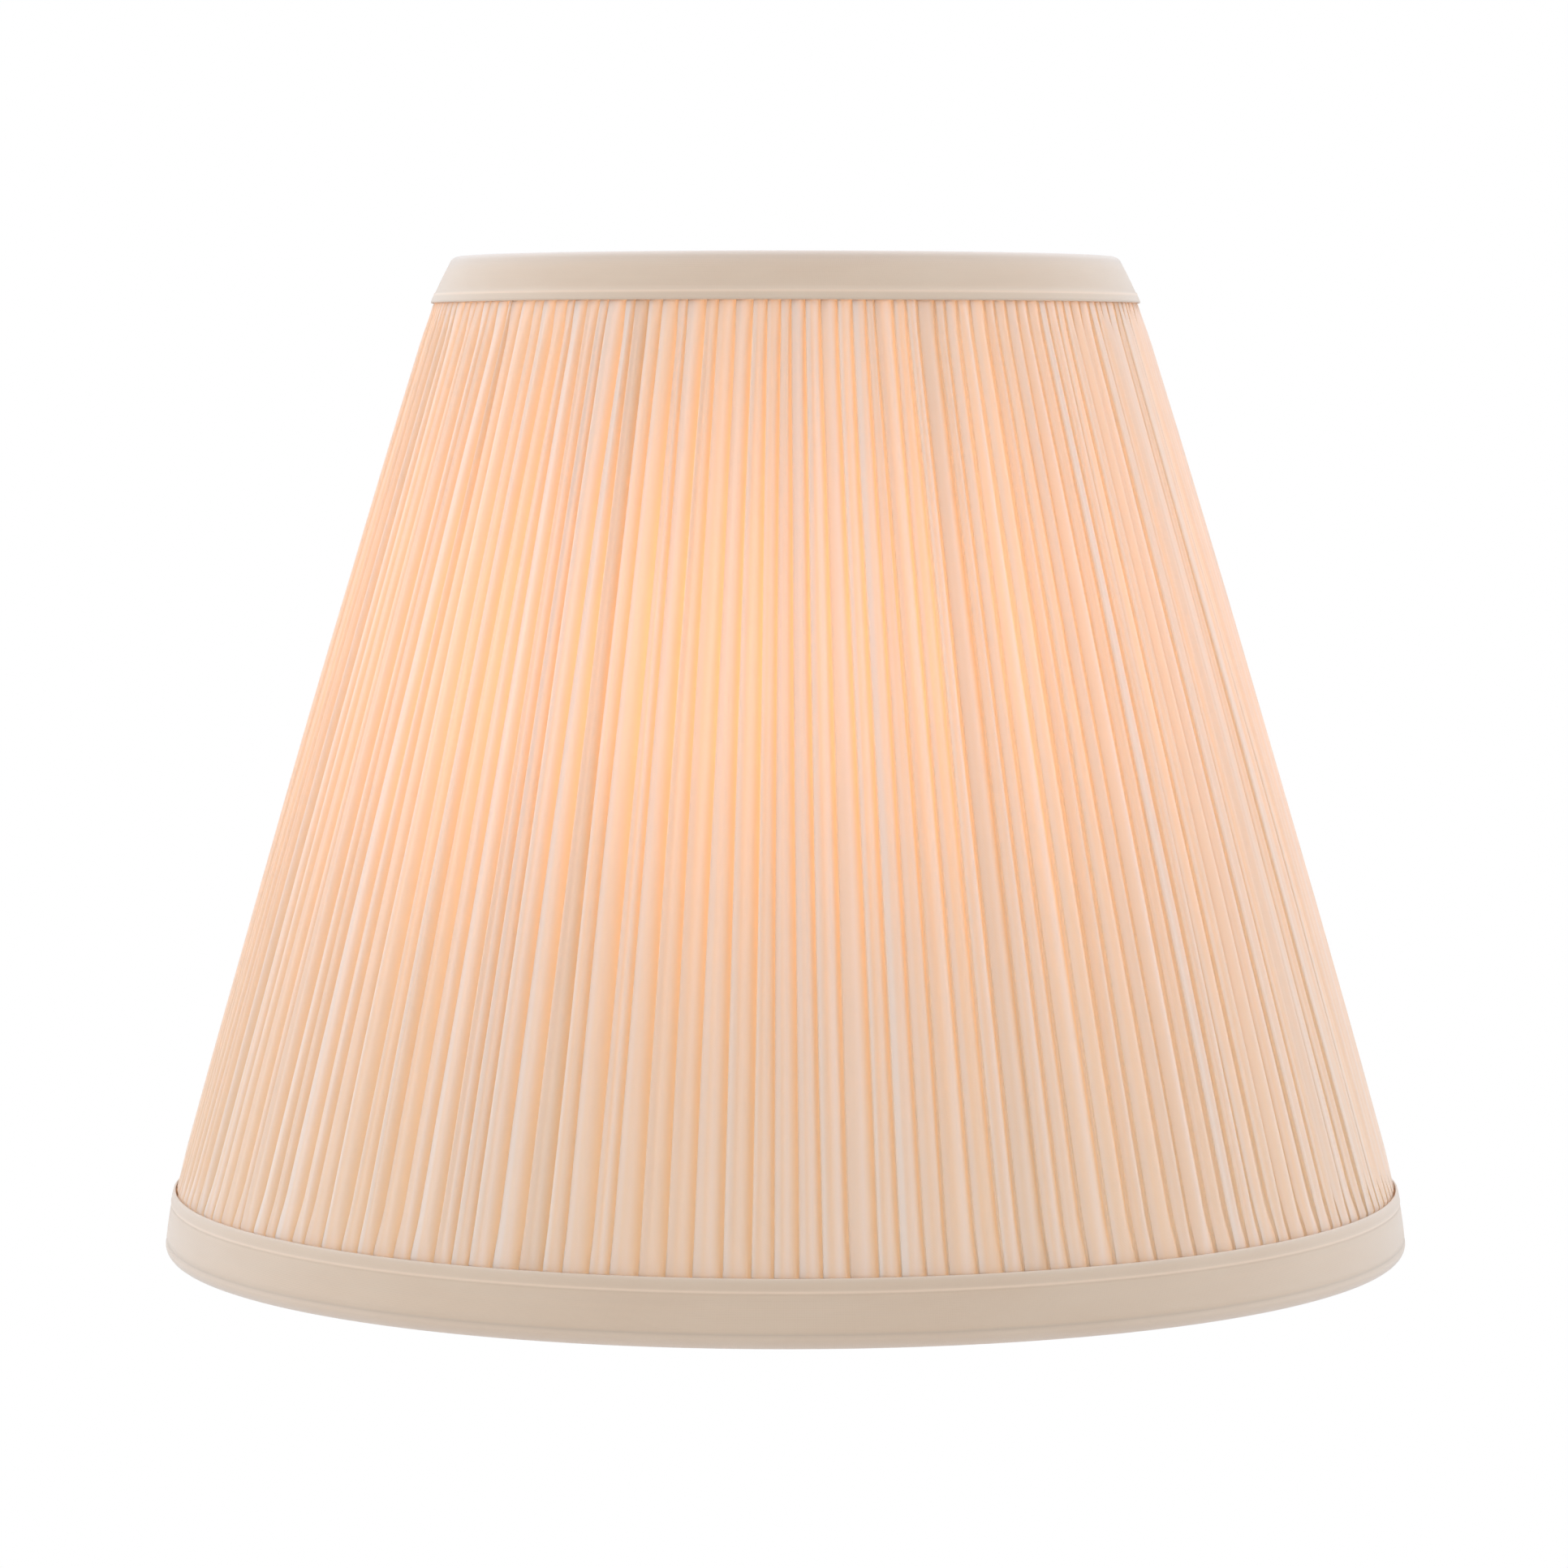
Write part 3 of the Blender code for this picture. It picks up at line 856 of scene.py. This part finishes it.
def make_world():
    """White surroundings to the eye; as light, warm and weak in front and white and strong at the sides."""
    world = bpy.data.worlds.new("studio")
    world.use_nodes = True
    bpy.context.scene.world = world
    tree = world.node_tree
    tree.nodes.clear()
    place = tree.nodes.new("ShaderNodeTexCoord")
    split = tree.nodes.new("ShaderNodeSeparateXYZ")
    tree.links.new(place.outputs["Generated"], split.inputs[0])
    front = tuple(FRONT_LIGHT * c for c in FRONT_TINT)
    side = tuple(SIDE_LIGHT * c for c in SIDE_TINT)
    behind = tuple(BACK_SHARE * c for c in side)
    light = colour(*front)
    for start, end, shade in ((-1.0, 0.6, side), (0.45, 1.0, behind)):
        ramp = tree.nodes.new("ShaderNodeMapRange")
        ramp.inputs["From Min"].default_value = start
        ramp.inputs["From Max"].default_value = end
        tree.links.new(split.outputs[1], ramp.inputs["Value"])
        tint = tree.nodes.new("ShaderNodeMix")
        tint.data_type = "RGBA"
        tree.links.new(ramp.outputs[0], tint.inputs[0])
        if isinstance(light, tuple):
            tint.inputs[6].default_value = light
        else:
            tree.links.new(light, tint.inputs[6])
        tint.inputs[7].default_value = colour(*shade)
        light = tint.outputs[2]
    soft = tree.nodes.new("ShaderNodeBackground")
    tree.links.new(light, soft.inputs["Color"])
    white = tree.nodes.new("ShaderNodeBackground")
    white.inputs["Color"].default_value = colour(1.0, 1.0, 1.0)
    seen = tree.nodes.new("ShaderNodeLightPath")
    both = tree.nodes.new("ShaderNodeMixShader")
    tree.links.new(seen.outputs["Is Camera Ray"], both.inputs[0])
    tree.links.new(soft.outputs[0], both.inputs[1])
    tree.links.new(white.outputs[0], both.inputs[2])
    out = tree.nodes.new("ShaderNodeOutputWorld")
    tree.links.new(both.outputs[0], out.inputs["Surface"])


def add_light(name, kind, location, energy, tint, aim=None, **settings):
    """A lamp, aimed at a point if one is given."""
    data = bpy.data.lights.new(name, kind)
    data.energy = energy
    data.color = tint
    for key, value in settings.items():
        setattr(data, key, value)
    lamp = bpy.data.objects.new(name, data)
    lamp.location = location
    if aim is not None:
        lamp.rotation_euler = (Vector(aim) - Vector(location)).to_track_quat("-Z", "Y").to_euler()
    bpy.context.scene.collection.objects.link(lamp)
    return lamp


def make_lights():
    """A warm lamp inside the shade and a broad soft key in front."""
    height = CAD_HIGH.z - CAD_LOW.z
    bulb = (*BULB_SHIFT, CAD_LOW.z + BULB_HEIGHT * height)
    add_light("bulb_glow", "POINT", bulb, BULB_POWER, BULB_TINT, shadow_soft_size=BULB_SIZE)
    add_light("key", "AREA", KEY_PLACE, KEY_POWER, KEY_TINT, (0.0, 0.0, height / 2), size=KEY_SIZE)


def make_camera():
    """The camera, a little below the top of the shade and tipped down slightly."""
    data = bpy.data.cameras.new("camera")
    data.lens = CAMERA_LENS
    data.sensor_width = SENSOR
    camera = bpy.data.objects.new("camera", data)
    centre = (CAD_LOW + CAD_HIGH) / 2.0
    camera.location = (centre.x + CAMERA_SIDE, centre.y - CAMERA_DISTANCE, CAD_LOW.z + CAMERA_HEIGHT)
    camera.rotation_euler = (math.pi / 2.0 - CAMERA_PITCH, 0.0, 0.0)
    bpy.context.scene.collection.objects.link(camera)
    bpy.context.scene.camera = camera


def main():
    """Build every piece, the stage and the camera."""
    make_camera()
    wire = wire_material()
    hoop("bottom_hoop", "bottom_ring", wire)
    hoop("top_hoop", "top_ring", wire)
    make_ribs(wire)
    make_arms(wire)
    make_washer()
    make_lining()
    make_cover()
    tape = trim_material()
    make_trim("bottom_tape", "bottom_trim", "bottom_ring", True, tape)
    make_trim("top_tape", "top_trim", "top_ring", False, tape)
    make_floor()
    make_world()
    make_lights()
    bpy.context.scene.view_settings.view_transform = "Standard"


main()
